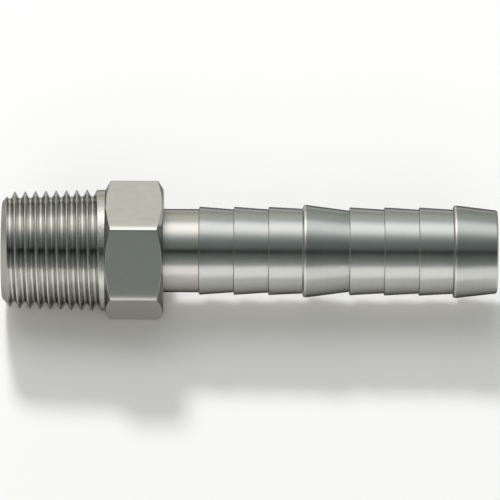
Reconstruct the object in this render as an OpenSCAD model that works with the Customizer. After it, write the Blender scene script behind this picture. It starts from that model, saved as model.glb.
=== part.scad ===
// Hose fitting turned and milled from one length of hexagon bar: a taper pipe thread, a land, a hexagon,
// a neck and a hose tail with barbs, bored through.
// The axis runs along +X from the thread's end face to the hose tip.

/* [Taper thread] */
// Diameter over the crests at the gauge plane
thread_d = 20.955; // [20.6:0.005:21.2]
// Distance from the end face to the gauge plane
gauge_length = 10; // [8:0.25:12]
// Length over which the diameter of the taper grows by 1
taper_rate = 16; // [14:1:20]
// Pitch, with 14 turns to the inch
thread_pitch = 1.814; // [1.6:0.002:2]
// Depth of the groove
thread_depth = 1.16; // [1:0.01:1.2]
// Angle between the two flanks
thread_angle = 55; // [50:1:60]
// Width of the crest that is left between two turns of the groove
crest_flat = 0.18; // [0.14:0.01:0.22]
// Distance from the end face to the end of the full groove
thread_length = 16.7; // [12:0.1:20]
// How far in front of that place the taper of the crests stops
taper_margin = 1.2; // [0.4:0.1:2]
// Place of the groove along the axis, on the side that faces +Y
groove_phase = 0.994; // [0:0.002:1.8]
// Turn over which the groove runs out to the surface
runout_angle = 95; // [60:5:120]
// Diameter of the end face inside its chamfer
nose_d = 17; // [16:0.1:17.6]
// Angle of the end chamfer from the axis
nose_angle = 49; // [40:1:55]

/* [Land and hexagon] */
// Length from the end of the full groove to the hexagon
land_length = 1.4; // [1.3:0.1:6]
// Length of the hexagon
hex_length = 10.2; // [7:0.1:16]
// Size across the flats
hex_af = 22; // [22:0.5:27]
// Radius of the six long edges
hex_edge_r = 0.9; // [0.4:0.1:1.4]
// Angle of the two end chamfers from the end face
hex_chamfer_angle = 30; // [20:1:40]
// How far inside the flats the end chamfers start
hex_chamfer_inset = 0.25; // [0.15:0.05:0.5]

/* [Hose tail] */
// Length of the neck between the hexagon and the first barb
neck_length = 6.2; // [3:0.1:12]
// Diameter of the neck
neck_d = 14.66; // [14:0.02:15.2]
// Small barbs in front of each large one
small_barbs = 3; // [1:1:5]
// Length of a small barb
small_barb_length = 6.1; // [4:0.1:8]
// Diameter over the crest of a small barb
small_barb_d = 15.5; // [15.3:0.02:16]
// Diameter at the foot of a small barb
small_foot_d = 14.72; // [14:0.02:15]
// Width of the step up to a small barb
small_rise = 0.12; // [0.06:0.02:0.3]
// Diameter over the crest of a large barb
large_barb_d = 16.34; // [15.8:0.02:17]
// Length of the large barb in the middle of the tail
middle_barb_length = 8.1; // [5:0.1:12]
// Diameter at the foot of the middle barb
middle_foot_d = 14.3; // [14:0.02:15]
// Width of the step up to the middle barb
middle_rise = 0.4; // [0.1:0.05:0.8]
// Length of the large barb at the tip
tip_barb_length = 7.7; // [5:0.1:12]
// Diameter of the tip
tip_d = 14.6; // [14:0.02:15]
// Width of the step up to the tip barb
tip_rise = 0.18; // [0.1:0.02:0.8]
// Radius of the corner at the tip
tip_r = 0.35; // [0.1:0.05:0.6]

/* [Bore and edges] */
// Diameter of the bore
bore_d = 11; // [8:0.1:12]
// Size of the chamfer at both ends of the bore
bore_chamfer = 0.4; // [0.2:0.1:0.8]
// Radius on the crests of the large barbs
crest_r = 0.25; // [0.1:0.05:0.4]
// Radius that breaks every other turned edge
edge_break = 0.1; // [0.04:0.02:0.16]

/* [Hidden] */
steel = "#b4b2aa";
round_fn = 96;
corner_steps = 4;
// The groove is swept in this many straight steps a turn, and its rounded root has this many sides
turn_steps = 48;
root_sides = 3;
// How far the pieces that are joined, and the tools that cut, reach past each other
overlap = 1;

shoulder_x = thread_length + land_length;
hex_end_x = shoulder_x + hex_length;
first_barb_x = hex_end_x + neck_length;
group_length = small_barbs * small_barb_length;
middle_barb_x = first_barb_x + group_length;
second_group_x = middle_barb_x + middle_barb_length;
tip_barb_x = second_group_x + group_length;
tip_x = tip_barb_x + tip_barb_length;

taper_end_x = thread_length - taper_margin;
land_r = taper_r(taper_end_x);
hex_corner_r = hex_af / 2 / cos(30);
hex_face_r = hex_af / 2 - hex_chamfer_inset;

// Radius over the crests of the taper at a distance from the end face
function taper_r(x) = (thread_d + (x - gauge_length) / taper_rate) / 2;

// Rounding of an outline whose points are [x, y, corner radius]
function flat(p) = [p[0], p[1]];
function unit(v) = v / norm(v);
function corner(a, b, c) =
    let (
        r = b[2],
        u = unit(flat(a) - flat(b)),
        v = unit(flat(c) - flat(b)),
        half = acos(u * v) / 2,
        centre = flat(b) + unit(u + v) * r / sin(half),
        from = flat(b) + u * r / tan(half) - centre,
        turn = (180 - 2 * half) * sign(from[0] * v[1] - from[1] * v[0]),
        start = atan2(from[1], from[0])
    )
    [for (i = [0 : corner_steps])
        let (angle = start + turn * i / corner_steps)
        centre + r * [cos(angle), sin(angle)]];
function rounded(p) =
    let (n = len(p))
    [for (i = [0 : n - 1])
        each p[i][2] == 0 ? [flat(p[i])] : corner(p[(i + n - 1) % n], p[i], p[(i + 1) % n])];

// Turns an outline of [distance along the axis, radius, corner radius] about the axis
module turned(outline) {
    rotate_extrude($fn = round_fn)
    polygon([for (p = rounded(outline)) [p[1], p[0]]]);
}

// One barb: the crest behind its step, and its foot
function barb(x, length, rise, crest_d, foot_d, edge_r) =
    [[x + rise, crest_d / 2, edge_r], [x + length, foot_d / 2, 0]];
function small_group(start) =
    [for (i = [0 : small_barbs - 1])
        let (x = start + i * small_barb_length)
        each barb(x, small_barb_length, small_rise, small_barb_d, small_foot_d, edge_break)];

module thread_blank() {
    nose_length = (taper_r(0) - nose_d / 2) / (tan(nose_angle) - 1 / (2 * taper_rate));
    turned([
        [0, 0, 0],
        [0, nose_d / 2, edge_break],
        [nose_length, taper_r(nose_length), 0],
        [taper_end_x, land_r, 0],
        [shoulder_x + overlap, land_r, 0],
        [shoulder_x + overlap, 0, 0]
    ]);
}

module hose_tail() {
    turned(concat(
        [
            [hex_end_x - overlap, 0, 0],
            [hex_end_x - overlap, neck_d / 2, 0],
            [first_barb_x, neck_d / 2, 0]
        ],
        small_group(first_barb_x),
        barb(middle_barb_x, middle_barb_length, middle_rise, large_barb_d, middle_foot_d, crest_r),
        small_group(second_group_x),
        [
            [tip_barb_x + tip_rise, large_barb_d / 2, crest_r],
            [tip_x, tip_d / 2, tip_r],
            [tip_x, 0, 0]
        ]
    ));
}

module hexagon() {
    reach = hex_corner_r + overlap;
    chamfer_length = (reach - hex_face_r) * tan(hex_chamfer_angle);
    corners = [for (i = [0 : 5]) [hex_corner_r * cos(60 * i), hex_corner_r * sin(60 * i), hex_edge_r]];
    intersection() {
        translate([0, 0, shoulder_x])
        linear_extrude(hex_length)
        polygon(rounded(corners));
        turned([
            [shoulder_x - overlap, 0, 0],
            [shoulder_x - overlap, hex_face_r - overlap / tan(hex_chamfer_angle), 0],
            [shoulder_x + chamfer_length, reach, 0],
            [hex_end_x - chamfer_length, reach, 0],
            [hex_end_x + overlap, hex_face_r - overlap / tan(hex_chamfer_angle), 0],
            [hex_end_x + overlap, 0, 0]
        ]);
    }
}

// The helical groove of the thread, swept as one closed solid. It starts one turn ahead of the end face,
// follows the taper, and is drawn out of the metal over the last part of its turn.
flank = thread_angle / 2;
cutter_reach = 0.1;
cutter_height = thread_depth + cutter_reach;
root_width = thread_pitch - crest_flat - 2 * thread_depth * tan(flank);
root_r = root_width / 2 / tan((90 - flank) / 2);
half_width = root_width / 2 + cutter_height * tan(flank);
first_angle = -360 * (1 + groove_phase / thread_pitch);
full_angle = 360 * (thread_length - groove_phase) / thread_pitch;
sweep_angle = full_angle + runout_angle - first_angle;
sweep_steps = ceil(sweep_angle * turn_steps / 360);

// Section of the groove: [distance along the axis, height over the root]
groove_section = concat(
    [[-half_width, cutter_height]],
    [for (i = [0 : root_sides])
        let (a = (90 - flank) * (2 * i / root_sides - 1))
        root_r * [sin(a), 1 - cos(a)]],
    [[half_width, cutter_height]]
);

function lift(angle) = (cutter_height + cutter_reach) * pow(max(0, angle - full_angle) / runout_angle, 2);
function groove_ring(angle) =
    [for (p = groove_section)
        let (
            x = groove_phase + thread_pitch * angle / 360 + p[0],
            r = taper_r(x) - thread_depth + p[1] + lift(angle)
        )
        [r * cos(angle), r * sin(angle), x]];

module thread_groove() {
    n = len(groove_section);
    rings = [for (i = [0 : sweep_steps]) each groove_ring(first_angle + sweep_angle * i / sweep_steps)];
    sides = [for (i = [0 : sweep_steps - 1], j = [0 : n - 1])
        let (a = i * n + j, b = i * n + (j + 1) % n)
        each [[a, b + n, b], [a, a + n, b + n]]];
    start_face = [for (j = [0 : n - 1]) j];
    end_face = [for (j = [n - 1 : -1 : 0]) sweep_steps * n + j];
    polyhedron(rings, concat(sides, [start_face, end_face]), convexity = 20);
}

module bore() {
    r = bore_d / 2;
    mouth_r = r + bore_chamfer + overlap;
    turned([
        [-overlap, 0, 0],
        [-overlap, mouth_r, 0],
        [bore_chamfer, r, 0],
        [tip_x - bore_chamfer, r, 0],
        [tip_x + overlap, mouth_r, 0],
        [tip_x + overlap, 0, 0]
    ]);
}

module hose_fitting() {
    color(steel)
    rotate([90, 0, 90])
    difference() {
        union() {
            thread_blank();
            hexagon();
            hose_tail();
        }
        thread_groove();
        bore();
    }
}

hose_fitting();
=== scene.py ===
import math
import bpy
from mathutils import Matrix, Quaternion, Vector


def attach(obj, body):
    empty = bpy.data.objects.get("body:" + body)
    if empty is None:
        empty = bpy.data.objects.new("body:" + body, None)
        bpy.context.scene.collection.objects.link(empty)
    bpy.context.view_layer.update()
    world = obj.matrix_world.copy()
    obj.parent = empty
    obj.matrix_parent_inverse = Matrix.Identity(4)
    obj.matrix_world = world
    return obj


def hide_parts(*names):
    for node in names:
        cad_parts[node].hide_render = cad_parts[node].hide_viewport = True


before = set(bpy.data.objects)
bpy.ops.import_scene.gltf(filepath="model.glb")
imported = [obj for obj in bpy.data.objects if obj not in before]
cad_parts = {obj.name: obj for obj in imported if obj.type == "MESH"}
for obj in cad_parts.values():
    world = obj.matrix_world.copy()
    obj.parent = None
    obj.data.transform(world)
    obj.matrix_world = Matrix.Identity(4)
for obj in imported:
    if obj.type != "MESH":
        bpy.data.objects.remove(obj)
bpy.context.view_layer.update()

MM = 0.001

# Sizes in millimetres and angles in degrees, the same as in the part's source.
THREAD_D, GAUGE_X, TAPER_END_X, TAPER_RATE = 20.955, 10.0, 15.5, 16.0
PITCH, DEPTH, CREST_FLAT, FLANK = 1.814, 1.16, 0.18, 27.5
FULL_END_X, GROOVE_PHASE, RUNOUT_TURNS = 16.7, 0.994, 95 / 360
NOSE_R, NOSE_ANGLE = 8.5, 49.0
HEX_X0, HEX_X1, HEX_AF, HEX_FACE_R, HEX_CHAMFER = 18.1, 28.3, 22.0, 10.75, 30.0
NECK_R, TIP_X, TIP_R = 7.33, 86.9, 7.3
FIRST_BARB_X, MIDDLE_BARB_X, SECOND_GROUP_X, TIP_BARB_X = 34.5, 52.8, 60.9, 79.2
BORE_R, BORE_CHAMFER = 5.5, 0.4

# Behind LAND_FROM_X, what lies on the surface of the blank is land. SMALL_CREST_R is just over the small barbs, and
# SLOPE_FROM_X is where the crest of the middle barb passes into its slope.
LAND_FROM_X, SMALL_CREST_R, SLOPE_FROM_X = 14.0, 7.77, 53.0

# A large barb has a rounded crest: its radius about the axis, how far it lies behind the step, and its rounding.
LARGE_CREST_R, LARGE_CREST_BACK, LARGE_CREST_ROUND = 8.175, 0.25, 0.9
TIP_ROUND, EDGE_ROUND = 0.35, 0.05

# Regions of the one piece, each with its own material; on CHAMFER, NOSE and SLOPE it is steel with painted shade, on
# CREST and NECK steel with a painted highlight. The numbers are places in the list of materials.
THREAD, LAND, HEX, TAIL, BORE, CHAMFER, NOSE, CREST, FACE, SLOPE, NECK = range(11)


def taper_r(x):
    return (THREAD_D + (min(x, TAPER_END_X) - GAUGE_X) / TAPER_RATE) / 2


def unit(v):
    return v / v.length


def rounded(points, steps=5, hold=0.06, most=0.6):
    """Outline of [x, r, corner radius]: each corner becomes an arc with a holding point on both sides of it.

    A holding point is left out where it would lie further along its side than the share that most gives.
    """
    out = []
    for i, (x, r, radius) in enumerate(points):
        here = Vector((x, r))
        if radius == 0 or i in (0, len(points) - 1):
            out.append(here)
            continue
        to_last = Vector(points[i - 1][:2]) - here
        to_next = Vector(points[i + 1][:2]) - here
        u, v = unit(to_last), unit(to_next)
        half = u.angle(v) / 2
        reach = radius / math.tan(half)
        centre = here + unit(u + v) * (radius / math.sin(half))
        first, last = here + u * reach - centre, here + v * reach - centre
        if reach + hold < to_last.length * most:
            out.append(here + u * (reach + hold))
        turn = first.angle_signed(last)
        start = math.atan2(first.y, first.x)
        for k in range(steps + 1):
            a = start - turn * k / steps
            out.append(centre + Vector((math.cos(a), math.sin(a))) * radius)
        if reach + hold < to_next.length * most:
            out.append(here + v * (reach + hold))
    return out


def make(name, verts, faces, region):
    """An object of one region, from points in millimetres."""
    mesh = bpy.data.meshes.new(name)
    mesh.from_pydata([(x * MM, y * MM, z * MM) for x, y, z in verts], [], faces)
    for m in materials:
        mesh.materials.append(m)
    mesh.polygons.foreach_set("material_index", [region] * len(mesh.polygons))
    obj = bpy.data.objects.new(name, mesh)
    bpy.context.scene.collection.objects.link(obj)
    return obj


def lathe(name, outline, region, n=192):
    """Turns an outline that starts and ends on the axis about +X."""
    verts, faces = [(outline[0][0], 0, 0)], []
    for p in outline[1:-1]:
        for i in range(n):
            a = math.tau * i / n
            verts.append((p[0], p[1] * math.cos(a), p[1] * math.sin(a)))
    verts.append((outline[-1][0], 0, 0))
    rings = len(outline) - 2
    last = len(verts) - 1
    for i in range(n):
        k = (i + 1) % n
        faces.append((0, 1 + k, 1 + i))
        for j in range(rings - 1):
            a, b = 1 + j * n, 1 + (j + 1) * n
            faces.append((a + i, a + k, b + k, b + i))
        a = 1 + (rings - 1) * n
        faces.append((a + i, a + k, last))
    return make(name, verts, faces, region)


def thread_profile():
    """One pitch of the thread from crest to crest: [place along the axis from the groove's centre, depth]."""
    full = 90 - FLANK
    crest_r = CREST_FLAT / 2 / math.tan(math.radians(full / 2))
    root_width = PITCH - CREST_FLAT - 2 * DEPTH * math.tan(math.radians(FLANK))
    root_r = root_width / 2 / math.tan(math.radians(full / 2))
    half = []
    arc = 4
    for k in range(arc + 1):
        a = math.radians(full * k / arc)
        half.append((-PITCH / 2 + crest_r * math.sin(a), crest_r * (1 - math.cos(a))))
    root = []
    for k in range(2 * arc + 1):
        a = math.radians(full * (k / arc - 1))
        root.append((root_r * math.sin(a), DEPTH - root_r * (1 - math.cos(a))))
    # a holding point near each end of the flank
    (u0, d0), (u1, d1) = half[-1], root[0]
    for t in (0.08, 0.92):
        half.append((u0 + (u1 - u0) * t, d0 + (d1 - d0) * t))
    return half + root + [(-u, d) for u, d in reversed(half)]


def thread_body():
    """The blank with its helical groove, as one strip that winds about the axis and joins its own edge each turn."""
    profile = thread_profile()
    m = len(profile) - 1
    turn = 160  # steps in a turn
    first, turns_in_all = -1.15, 11.4  # it starts in front of the end face and ends inside the land
    steps = round(turns_in_all * turn)
    narrowest = 0.3  # width of the groove, against the full one, where it has run out
    full_end = (FULL_END_X - GROOVE_PHASE) / PITCH

    def point(i, j):
        turns = first + i / turn
        t = max(0.0, min(1.0, (turns - full_end) / RUNOUT_TURNS))
        k = 1 - t * t
        u, depth = profile[j]
        edge = (abs(u) * 2 / PITCH) ** 4
        width = narrowest + (1 - narrowest) * k
        x = GROOVE_PHASE + PITCH * turns + u * (width + (1 - width) * edge)
        r = taper_r(x) - depth * k
        a = math.tau * turns
        return (x, r * math.cos(a), r * math.sin(a))

    def index(i, j):
        """Number of a point. The last point of the profile is the first one of the next turn."""
        if j < m:
            return i * m + j
        if i + turn <= steps:
            return (i + turn) * m
        return (steps + 1) * m + i - (steps - turn + 1)

    verts = [point(i, j) for i in range(steps + 1) for j in range(m)]
    verts += [point(i, m) for i in range(steps - turn + 1, steps + 1)]
    start, end = len(verts), len(verts) + 1
    x_first = GROOVE_PHASE + PITCH * (first - 0.5)
    x_last = GROOVE_PHASE + PITCH * (first + steps / turn + 0.5)
    verts += [(x_first, 0, 0), (x_last, 0, 0)]
    faces = []
    for i in range(steps):
        for j in range(m):
            faces.append((index(i, j), index(i + 1, j), index(i + 1, j + 1), index(i, j + 1)))
    for j in range(m):
        faces.append((index(0, j), index(0, j + 1), start))
        faces.append((index(steps, j + 1), index(steps, j), end))
    for i in range(turn):
        faces.append((index(i + 1, 0), index(i, 0), start))
    for i in range(steps - turn, steps):
        faces.append((index(i, m), index(i + 1, m), end))
    return make("thread", verts, faces, THREAD)


def hex_outline():
    """Section of the hexagon. Each flat rolls off softly towards one edge, then turns sharply into the next flat."""
    reach, tilt, power = 1.6, 19.0, 2.6  # length of the roll-off, the angle that it turns through, how late it turns
    corner_r = 0.3
    fine = 200  # steps in which each of the two bends is added up
    bends = [(tilt * ((k + 0.5) / fine) ** power, reach / fine) for k in range(fine)]
    arc = math.radians(60 - tilt) * corner_r
    bends += [(tilt + (60 - tilt) * (k + 0.5) / fine, arc / fine) for k in range(fine)]
    path = [Vector((0, 0))]
    for bend, length in bends:
        a = math.radians(bend)
        path.append(path[-1] + Vector((-math.sin(a), math.cos(a))) * length)
    half = HEX_AF / 2
    sixty = math.radians(60)
    across = Vector((math.cos(sixty), math.sin(sixty)))
    y0 = (half - half * across.x - path[-1].dot(across)) / across.y
    end = path[-1] + Vector((half, y0))
    y_start = end.dot(Vector((-across.y, across.x)))
    on_flat = (0.02, 0.1, 0.35, 0.65, 1.0)
    on_roll_off = (0.2, 0.35, 0.5, 0.6, 0.7, 0.78, 0.86, 0.93, 0.97, 1.0)
    on_corner = (1.17, 1.34, 1.5, 1.67, 1.84, 2.0)
    face = [Vector((half, y_start + (y0 - y_start) * t)) for t in on_flat]
    face += [path[round(fine * t)] + Vector((half, y0)) for t in on_roll_off + on_corner]
    points = []
    for c in range(6):
        turn = math.radians(60 * c + 30)
        ca, sa = math.cos(turn), math.sin(turn)
        points += [Vector((p.x * ca - p.y * sa, p.x * sa + p.y * ca)) for p in face]
    return points


def hexagon():
    outline = hex_outline()
    n = len(outline)
    slope = math.tan(math.radians(HEX_CHAMFER))
    near, far = 0.02, 0.08  # holding rows on both sides of the edge where the chamfer meets the flats

    def side(face_x, sign):
        """Rows of one end: the end face, its chamfer, and the start of the flats."""
        def cone(radius):
            return [(face_x + sign * (radius(p) - HEX_FACE_R) * slope, p.normalized() * radius(p)) for p in outline]

        out = [[(face_x, p.normalized() * r) for p in outline] for r in (4, 9)]
        out += [cone(lambda p: HEX_FACE_R + (p.length - HEX_FACE_R - far) * t) for t in (0.0, 0.25, 0.6)]
        out += [cone(lambda p: p.length - inset) for inset in (far, near)]
        for drop in (near, far):
            out.append([(face_x + sign * ((p.length - HEX_FACE_R) * slope + drop), p) for p in outline])
        return out

    rows = side(HEX_X0, 1)
    for t in (0.2, 0.4, 0.6, 0.8):
        rows.append([(HEX_X0 + (HEX_X1 - HEX_X0) * t, p) for p in outline])
    rows += reversed(side(HEX_X1, -1))
    verts = [(HEX_X0, 0, 0)]
    for row in rows:
        verts += [(x, p[0], p[1]) for x, p in row]
    verts.append((HEX_X1, 0, 0))
    faces = []
    for i in range(n):
        k = (i + 1) % n
        faces.append((0, 1 + k, 1 + i))
        for j in range(len(rows) - 1):
            a, b = 1 + j * n, 1 + (j + 1) * n
            faces.append((a + i, a + k, b + k, b + i))
        a = 1 + (len(rows) - 1) * n
        faces.append((a + i, a + k, len(verts) - 1))
    return make("hexagon", verts, faces, HEX)


def nose():
    """What is left of the thread after its end face and its end chamfer are turned."""
    angle = math.radians(NOSE_ANGLE)
    top, end = 12.0, 25.0  # clear of the thread
    outline = rounded([
        (0, 0, 0),
        (0, NOSE_R, 0.1),
        ((top - NOSE_R) / math.tan(angle), top, 0),
        (end, top, 0),
        (end, 0, 0),
    ])
    return lathe("nose", outline, THREAD)


def tail():
    # Each barb: start and width of its step, radius and rounding of its crest, radius of the foot behind it.
    barbs = [
        (34.5, 0.12, 7.75, 0.05, 7.30),
        (40.6, 0.12, 7.75, 0.05, 7.33),
        (46.7, 0.12, 7.76, 0.05, 7.46),
        (52.64, 0.28, 8.07, 0.05, 7.15),
        (60.9, 0.12, 7.74, 0.05, 7.37),
        (67.0, 0.12, 7.75, 0.05, 7.39),
        (73.1, 0.12, 7.75, 0.05, 7.42),
        (79.08, 0.17, 8.05, 0.08, TIP_R),
    ]
    points = [(HEX_X1 - 1, 0, 0), (HEX_X1 - 1, NECK_R, 0), (barbs[0][0], NECK_R, EDGE_ROUND)]
    for i, (x, rise, crest, edge, foot) in enumerate(barbs):
        points.append((x + rise, crest, edge))
        if crest > SMALL_CREST_R:
            points.append((x + rise + LARGE_CREST_BACK, LARGE_CREST_R, LARGE_CREST_ROUND))
        if i + 1 < len(barbs):
            points.append((barbs[i + 1][0], foot, EDGE_ROUND))
    points += [(TIP_X, TIP_R, TIP_ROUND), (TIP_X, 0, 0)]
    return lathe("hose_tail", rounded(points), TAIL)


def bore():
    """The drill with its two countersinks. Holding points lie beside each edge."""
    mouth = BORE_R + BORE_CHAMFER
    hold = 0.05
    outline = [
        (-1, 0),
        (-1, mouth + 1),
        (hold, mouth - hold),
        (BORE_CHAMFER - hold, BORE_R + hold),
        (BORE_CHAMFER, BORE_R),
        (BORE_CHAMFER + hold, BORE_R),
        (TIP_X - BORE_CHAMFER - hold, BORE_R),
        (TIP_X - BORE_CHAMFER, BORE_R),
        (TIP_X - BORE_CHAMFER + hold, BORE_R + hold),
        (TIP_X - hold, mouth - hold),
        (TIP_X + 1, mouth + 1),
        (TIP_X + 1, 0),
    ]
    return lathe("bore", [Vector(p) for p in outline], BORE, n=128)


def combine(obj, tool, operation):
    """Applies a boolean to obj and deletes the tool."""
    mod = obj.modifiers.new("combine", "BOOLEAN")
    mod.object, mod.operation, mod.solver = tool, operation, "MANIFOLD"
    bpy.context.view_layer.update()
    evaluated = obj.evaluated_get(bpy.context.evaluated_depsgraph_get())
    mesh = bpy.data.meshes.new_from_object(evaluated)
    obj.modifiers.clear()
    obj.data = mesh
    bpy.data.objects.remove(tool)


def node(tree, kind, at=(0, 0), **values):
    """A new shader node with its settings."""
    n = tree.nodes.new(kind)
    n.location = at
    for key, value in values.items():
        setattr(n, key, value)
    return n


def steel(name, tint, rough, spread, lines, line_height, around=40.0, anisotropy=0.0, rim=0.6, vary=0.05,
          faced=False):
    """Bare steel with tool marks.

    tint is the middle colour, which changes by vary, and rough the middle roughness, which changes by spread.
    lines is how many marks lie on a millimetre along the axis, or along the radius where faced is true, and
    around how many on a metre in the other directions. line_height is their height in metres.
    anisotropy spreads the reflections across the marks, and rim is how bright the steel is at a grazing angle; the
    low rims darken the outline beyond real steel, which is painted shade.
    """
    mat = bpy.data.materials.new(name)
    mat.use_nodes = True
    tree = mat.node_tree
    bsdf = tree.nodes["Principled BSDF"]
    bsdf.inputs["Metallic"].default_value = 1.0
    # the rim sets Specular Tint; set low, it darkens the outline of the part as painted shade
    bsdf.inputs["Specular Tint"].default_value = (rim, rim, rim * 0.97, 1)  # a little warm
    place = node(tree, "ShaderNodeTexCoord", (-1900, 0)).outputs["Object"]
    across = place
    if faced:
        # the distance from the axis takes the place of the distance along it
        flat = node(tree, "ShaderNodeVectorMath", (-1700, 200), operation="MULTIPLY")
        flat.inputs[1].default_value = (0, 1, 1)
        radius = node(tree, "ShaderNodeVectorMath", (-1500, 200), operation="LENGTH")
        both = node(tree, "ShaderNodeCombineXYZ", (-1300, 200))
        tree.links.new(place, flat.inputs[0])
        tree.links.new(flat.outputs["Vector"], radius.inputs[0])
        tree.links.new(radius.outputs["Value"], both.inputs["X"])
        across = both.outputs["Vector"]

    def noise(at, source, scale, roughness=0.5):
        mapping = node(tree, "ShaderNodeMapping", at)
        mapping.inputs["Scale"].default_value = scale
        tex = node(tree, "ShaderNodeTexNoise", (at[0] + 200, at[1]))
        tex.inputs["Scale"].default_value = 1.0
        tex.inputs["Detail"].default_value = 3
        tex.inputs["Roughness"].default_value = roughness
        tree.links.new(source, mapping.inputs["Vector"])
        tree.links.new(mapping.outputs["Vector"], tex.inputs["Vector"])
        return tex.outputs["Fac"]

    marks = noise((-1100, 200), across, (lines * 1000, around, around), 0.6)
    cloud = noise((-1100, -200), place, (260, 260, 260))
    # the roughness follows the tool marks and a slow cloud
    marks_share = 0.65
    mix = node(tree, "ShaderNodeMath", (-640, 60), operation="MULTIPLY_ADD")
    mix.inputs[1].default_value = marks_share
    slow = node(tree, "ShaderNodeMath", (-820, -100), operation="MULTIPLY")
    slow.inputs[1].default_value = 1 - marks_share
    tree.links.new(cloud, slow.inputs[0])
    tree.links.new(marks, mix.inputs[0])
    tree.links.new(slow.outputs[0], mix.inputs[2])
    to_rough = node(tree, "ShaderNodeMapRange", (-440, 60))
    to_rough.inputs["From Min"].default_value = 0.3
    to_rough.inputs["From Max"].default_value = 0.7
    to_rough.inputs["To Min"].default_value = rough - spread
    to_rough.inputs["To Max"].default_value = rough + spread
    tree.links.new(mix.outputs[0], to_rough.inputs["Value"])
    tree.links.new(to_rough.outputs["Result"], bsdf.inputs["Roughness"])
    # the colour varies a little with the marks
    ramp = node(tree, "ShaderNodeValToRGB", (-440, 360))
    ramp.color_ramp.elements[0].position = 0.25
    ramp.color_ramp.elements[1].position = 0.75
    ramp.color_ramp.elements[0].color = (*(c * (1 - vary) for c in tint), 1)
    ramp.color_ramp.elements[1].color = (*(c * (1 + vary) for c in tint), 1)
    tree.links.new(mix.outputs[0], ramp.inputs["Fac"])
    tree.links.new(ramp.outputs["Color"], bsdf.inputs["Base Color"])
    bump = node(tree, "ShaderNodeBump", (-240, -200))
    bump.inputs["Strength"].default_value = 1.0
    bump.inputs["Distance"].default_value = line_height
    tree.links.new(marks, bump.inputs["Height"])
    tree.links.new(bump.outputs["Normal"], bsdf.inputs["Normal"])
    if anisotropy:
        tangent = node(tree, "ShaderNodeTangent", (-240, -420), direction_type="RADIAL", axis="X")
        tree.links.new(tangent.outputs["Tangent"], bsdf.inputs["Tangent"])
        bsdf.inputs["Anisotropic"].default_value = anisotropy
        bsdf.inputs["Anisotropic Rotation"].default_value = 0.25  # a quarter turn, across the marks
    return mat


# One for each region, in the order of their numbers.
materials = [
    steel("thread_steel", (0.73, 0.72, 0.69), 0.18, 0.03, 7.0, 0.5e-6, anisotropy=0.4, rim=0.3),
    steel("land_steel", (0.68, 0.67, 0.645), 0.24, 0.10, 3.5, 40.0e-6, around=1500.0, rim=0.3, vary=0.18),
    steel("flat_steel", (0.598, 0.587, 0.563), 0.20, 0.03, 0.4, 0.3e-6, around=700.0, rim=1.0),
    steel("turned_steel", (0.72, 0.715, 0.695), 0.32, 0.03, 9.0, 0.3e-6, anisotropy=0.93, rim=0.08),
    steel("bored_steel", (0.66, 0.65, 0.61), 0.36, 0.06, 5.0, 1.5e-6),
    # The chamfers of the hexagon get darker steel than the flats: painted shade.
    steel("chamfer_shade_steel", (0.45, 0.445, 0.42), 0.17, 0.04, 5.0, 0.5e-6, rim=0.3),
    # The chamfer at the nose gets darker steel than the thread: painted shade.
    steel("nose_shade_steel", (0.40, 0.39, 0.365), 0.28, 0.06, 5.0, 1.0e-6, rim=0.4),
    # The crests and steps of the barbs get brighter steel than the rest of the tail: a painted highlight; its
    # smoother, even roughness is the crests' own.
    steel("crest_highlight_steel", (0.82, 0.81, 0.79), 0.26, 0.04, 7.0, 0.3e-6, rim=0.3),
    steel("faced_steel", (0.66, 0.65, 0.625), 0.28, 0.08, 3.0, 4.0e-6, anisotropy=0.8, rim=0.5, vary=0.2,
          faced=True),
    # The slopes of the middle and tip barbs get darker steel than the rest of the tail: painted shade.
    steel("slope_shade_steel", (0.645, 0.645, 0.627), 0.32, 0.03, 9.0, 0.3e-6, anisotropy=0.93, rim=0.08),
    # The neck gets brighter, warmer steel than the rest of the tail: a painted highlight.
    steel("neck_highlight_steel", (0.77, 0.75, 0.715), 0.30, 0.03, 9.0, 0.3e-6, anisotropy=0.93, rim=0.08),
]

fitting = thread_body()
combine(fitting, nose(), "INTERSECT")
combine(fitting, hexagon(), "UNION")
combine(fitting, tail(), "UNION")
combine(fitting, bore(), "DIFFERENCE")
fitting.name = "fitting"
shape = fitting.data
shape.name = "fitting"


def finer_region(c, normal_x, region):
    """Region of a face of the joined piece, from its centre in millimetres, its normal's x and its first region."""
    r = math.hypot(c.y, c.z)
    near = 0.02
    at_end = c.x < near or c.x > TIP_X - near
    if abs(normal_x) > 0.99 and (region == HEX or at_end and region in (THREAD, TAIL)):
        return FACE
    if region == THREAD and c.x > LAND_FROM_X and r > taper_r(c.x) - near:
        return LAND if abs(normal_x) < 0.15 else THREAD
    if region == THREAD and c.x < 2 and abs(normal_x + math.sin(math.radians(NOSE_ANGLE))) < 0.03:
        return NOSE
    if region == HEX and 0.8 < abs(normal_x) < 0.95:
        return CHAMFER
    at_middle_step = MIDDLE_BARB_X - 1 < c.x < SLOPE_FROM_X
    if region == TAIL and normal_x < 0 and (r > SMALL_CREST_R or at_middle_step):
        return CREST
    if region == TAIL and (SLOPE_FROM_X < c.x < SECOND_GROUP_X - 0.1 or c.x > TIP_BARB_X + 0.1):
        return SLOPE
    if region == TAIL and c.x < FIRST_BARB_X:
        return NECK
    return region


for poly in shape.polygons:
    poly.material_index = finer_region(poly.center / MM, poly.normal.x, poly.material_index)
shape.polygons.foreach_set("use_smooth", [True] * len(shape.polygons))
shape.set_sharp_from_angle(angle=math.radians(32))
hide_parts("hose_fitting")
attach(fitting, "root")

floor_z = min(v.co.z for v in shape.vertices)
centre = Vector((TIP_X / 2 * MM, 0, floor_z))


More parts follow.
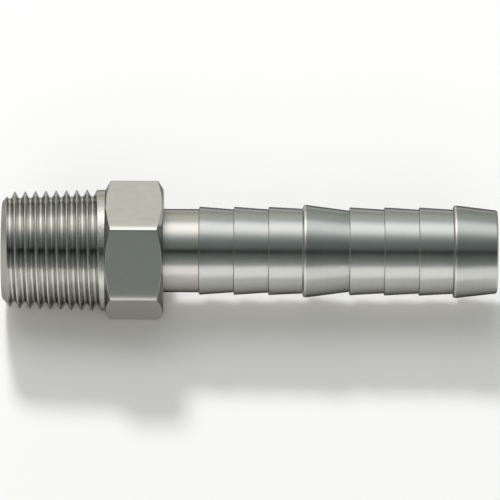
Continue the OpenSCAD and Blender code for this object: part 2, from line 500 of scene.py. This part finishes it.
def pale(name, colour):
    """A matt material that is barely mottled."""
    mat = bpy.data.materials.new(name)
    mat.use_nodes = True
    tree = mat.node_tree
    bsdf = tree.nodes["Principled BSDF"]
    bsdf.inputs["Roughness"].default_value = 0.9
    bsdf.inputs["Specular IOR Level"].default_value = 0.1
    coord = node(tree, "ShaderNodeTexCoord", (-900, 0))
    tex = node(tree, "ShaderNodeTexNoise", (-700, 0))
    tex.inputs["Scale"].default_value = 8.0
    tex.inputs["Detail"].default_value = 4.0
    ramp = node(tree, "ShaderNodeValToRGB", (-450, 0))
    ramp.color_ramp.elements[0].color = tuple(c * 0.985 for c in colour) + (1,)
    ramp.color_ramp.elements[1].color = tuple(colour) + (1,)
    tree.links.new(coord.outputs["Object"], tex.inputs["Vector"])
    tree.links.new(tex.outputs["Fac"], ramp.inputs["Fac"])
    tree.links.new(ramp.outputs["Color"], bsdf.inputs["Base Color"])
    return mat


def disc(name, rings, n=96):
    """A round floor about the fitting, from rings of [radius, height over the floor] in metres."""
    verts, faces = [tuple(centre)], []
    for radius, height in rings:
        for i in range(n):
            a = math.tau * i / n
            verts.append((centre.x + radius * math.cos(a), radius * math.sin(a), floor_z + height))
    for i in range(n):
        k = (i + 1) % n
        faces.append((0, 1 + i, 1 + k))
        for j in range(len(rings) - 1):
            a, b = 1 + j * n, 1 + (j + 1) * n
            faces.append((a + i, b + i, b + k, a + k))
    mesh = bpy.data.meshes.new(name)
    mesh.from_pydata(verts, [], faces)
    mesh.polygons.foreach_set("use_smooth", [True] * len(mesh.polygons))
    obj = bpy.data.objects.new(name, mesh)
    bpy.context.scene.collection.objects.link(obj)
    return obj


# The last three rings turn the floor up at its rim.
floor = disc("floor", [(0.2, 0), (1.0, 0), (2.2, 0), (2.3, 0.005), (2.38, 0.02), (2.42, 0.05)])
floor.data.materials.append(pale("floor_white", (0.96, 0.96, 0.96)))


LAMP_DISTANCE = 1.5


def shining(name, kind, energy, colour, height, sideways, **values):
    """A lamp at an angle over the front horizon, in degrees. The steel mirrors the world's softbox instead of it."""
    light = bpy.data.lights.new(name, kind)
    light.energy = energy
    light.color = colour
    for key, value in values.items():
        setattr(light, key, value)
    lamp = bpy.data.objects.new(name, light)
    bpy.context.scene.collection.objects.link(lamp)
    a = math.radians(height)
    toward = unit(Vector((sideways, -math.cos(a), math.sin(a))))
    lamp.location = centre + toward * LAMP_DISTANCE
    lamp.rotation_euler = toward.to_track_quat("Z", "Y").to_euler()
    lamp.visible_glossy = False


shining("back_light", "AREA", 14.0, (1, 1, 1), 139.5, -0.15, shape="DISK", size=0.24)
shining("front_fill", "SUN", 1.1, (1, 0.95, 0.87), 28, 0.0, angle=math.radians(50))

# The ramps of the world hold levels up to FULL_LEVEL and factors up to FULL_SHARE as 0 to 1.
FULL_LEVEL, FULL_SHARE, WORLD_GAIN = 1.25, 1.45, 1.1

world = bpy.data.worlds.new("studio")
bpy.context.scene.world = world
world.use_nodes = True
sky = world.node_tree
background = sky.nodes["Background"]
direction = node(sky, "ShaderNodeTexCoord", (-1400, 0))
axes = node(sky, "ShaderNodeSeparateXYZ", (-1200, 0))
sky.links.new(direction.outputs["Generated"], axes.inputs[0])


def math_node(operation, *values, at):
    n = node(sky, "ShaderNodeMath", at, operation=operation)
    for i, value in enumerate(values):
        if isinstance(value, (int, float)):
            n.inputs[i].default_value = value
        else:
            sky.links.new(value, n.inputs[i])
    return n.outputs[0]


def ramp_node(stops, fac, low, high, at):
    """A ramp over low..high with stops (place, red, green, blue)."""
    place = node(sky, "ShaderNodeMapRange", (at[0] - 200, at[1]))
    place.inputs["From Min"].default_value = low
    place.inputs["From Max"].default_value = high
    sky.links.new(fac, place.inputs["Value"])
    n = node(sky, "ShaderNodeValToRGB", at)
    ramp = n.color_ramp
    while len(ramp.elements) < len(stops):
        ramp.elements.new(0.5)
    for e, (x, *colour) in zip(ramp.elements, stops):
        e.position = (x - low) / (high - low)
        e.color = (*colour, 1)
    sky.links.new(place.outputs["Result"], n.inputs["Fac"])
    return n.outputs["Color"]


def grey(level, g=1.0, b=1.0):
    """A level of light as a ramp holds it, with green and blue against red."""
    return level / FULL_LEVEL, level * g / FULL_LEVEL, level * b / FULL_LEVEL


def factor(r, g, b):
    """A factor on the light, as a ramp holds it."""
    return r / FULL_SHARE, g / FULL_SHARE, b / FULL_SHARE


# The softbox hangs over and behind the fitting. Angles go from the horizon in front, over the zenith, to the
# horizon behind. The dark line is the gap that the lens looks through.
front = math_node("MULTIPLY", axes.outputs["Y"], -1.0, at=(-1000, 100))
up = math_node("ARCTAN2", axes.outputs["Z"], front, at=(-850, 0))
up = math_node("MULTIPLY", up, 180 / math.pi, at=(-700, 0))
over = ramp_node([
    (-90, *grey(0.30)),
    (0, *grey(0.40)),
    (5, *grey(0.27)),
    (12, *grey(0.215, 1.17, 1.12)),
    (20, *grey(0.14, 1.20, 1.15)),
    (33, *grey(0.073, 1.20, 1.15)),
    (36, *grey(0.034, 1.20, 1.18)),
    (38.5, *grey(0.0)),
    (45.2, *grey(0.0)),
    (48.5, *grey(0.102, 1.21, 1.19)),
    (58, *grey(0.131, 1.21, 1.19)),
    (68, *grey(0.176, 1.16, 1.16)),
    (77, *grey(0.305, 1.10, 1.11)),
    (84, *grey(0.475, 1.05, 1.06)),
    (91, *grey(0.80, 1.02, 1.03)),
    (98, *grey(1.06)),
    (105, *grey(1.22)),
    (112, *grey(1.24)),
    (120, *grey(1.15)),
    (125, *grey(0.95, 1.02, 1.04)),
    (131, *grey(0.62, 1.03, 1.05)),
    (138, *grey(0.51, 1.01, 0.98)),
    (150, *grey(0.50, 1.02, 0.95)),
    (165, *grey(0.39, 1.04, 0.96)),
    (180, *grey(0.30, 1.04, 0.98)),
], up, -90, 180, (-400, 200))
# Along the axis the light falls off towards the hose end, and turns bluer.
fade = ramp_node([
    (-0.65, *factor(0.35, 0.35, 0.35)),
    (-0.42, *factor(1.00, 0.97, 0.93)),
    (-0.25, *factor(1.45, 1.38, 1.30)),
    (-0.05, *factor(1.45, 1.39, 1.31)),
    (0.03, *factor(1.36, 1.32, 1.27)),
    (0.08, *factor(0.94, 1.03, 1.05)),
    (0.12, *factor(0.75, 0.87, 0.895)),
    (0.15, *factor(0.64, 0.78, 0.805)),
    (0.20, *factor(0.53, 0.63, 0.65)),
    (0.27, *factor(0.41, 0.47, 0.48)),
    (0.5, *factor(0.32, 0.345, 0.35)),
], axes.outputs["X"], -1, 1, (-400, -100))
# What the two ends see is plain.
sides = ramp_node([
    (-1.0, *grey(0.34 / FULL_SHARE)),
    (-0.3, *grey(0.30 / FULL_SHARE)),
    (0.3, *grey(0.24 / FULL_SHARE)),
    (1.0, *grey(0.30 / FULL_SHARE)),
], axes.outputs["X"], -1, 1, (-400, -400))
sideways = math_node("ABSOLUTE", axes.outputs["X"], at=(-1000, -500))
edge = node(sky, "ShaderNodeMapRange", (-700, -600), interpolation_type="SMOOTHSTEP")
edge.inputs["From Min"].default_value = 0.55
edge.inputs["From Max"].default_value = 0.85
sky.links.new(sideways, edge.inputs["Value"])
faded = node(sky, "ShaderNodeMix", (-100, 100), data_type="RGBA", blend_type="MULTIPLY")
faded.inputs[0].default_value = 1.0
sky.links.new(over, faded.inputs[6])
sky.links.new(fade, faded.inputs[7])
whole = node(sky, "ShaderNodeMix", (100, 0), data_type="RGBA")
sky.links.new(edge.outputs["Result"], whole.inputs[0])
sky.links.new(faded.outputs[2], whole.inputs[6])
sky.links.new(sides, whole.inputs[7])
sky.links.new(whole.outputs[2], background.inputs["Color"])
background.inputs["Strength"].default_value = FULL_LEVEL * FULL_SHARE * WORLD_GAIN

# Camera at the photograph's angle, with a long lens and turned a quarter of a degree, one metre from the fitting.
CAMERA_HEIGHT, CAMERA_ROLL, CAMERA_X, CAMERA_RISE = 43.2, 0.25, 0.0435, 0.000158
camera = bpy.data.cameras.new("camera")
camera.sensor_width = 36
camera.lens = 409.6
camera.clip_end = 20
eye = bpy.data.objects.new("camera", camera)
bpy.context.scene.collection.objects.link(eye)
tilt = math.radians(CAMERA_HEIGHT)
back = Vector((0, -math.cos(tilt), math.sin(tilt)))
rise = Vector((0, math.sin(tilt), math.cos(tilt)))
target = Vector((CAMERA_X, 0, 0)) + rise * CAMERA_RISE
eye.location = target + back
aim = back.to_track_quat("Z", "Y")
aim.rotate(Quaternion(back, math.radians(CAMERA_ROLL)))
eye.rotation_euler = aim.to_euler()
bpy.context.scene.camera = eye

bpy.context.scene.view_settings.view_transform = "Standard"
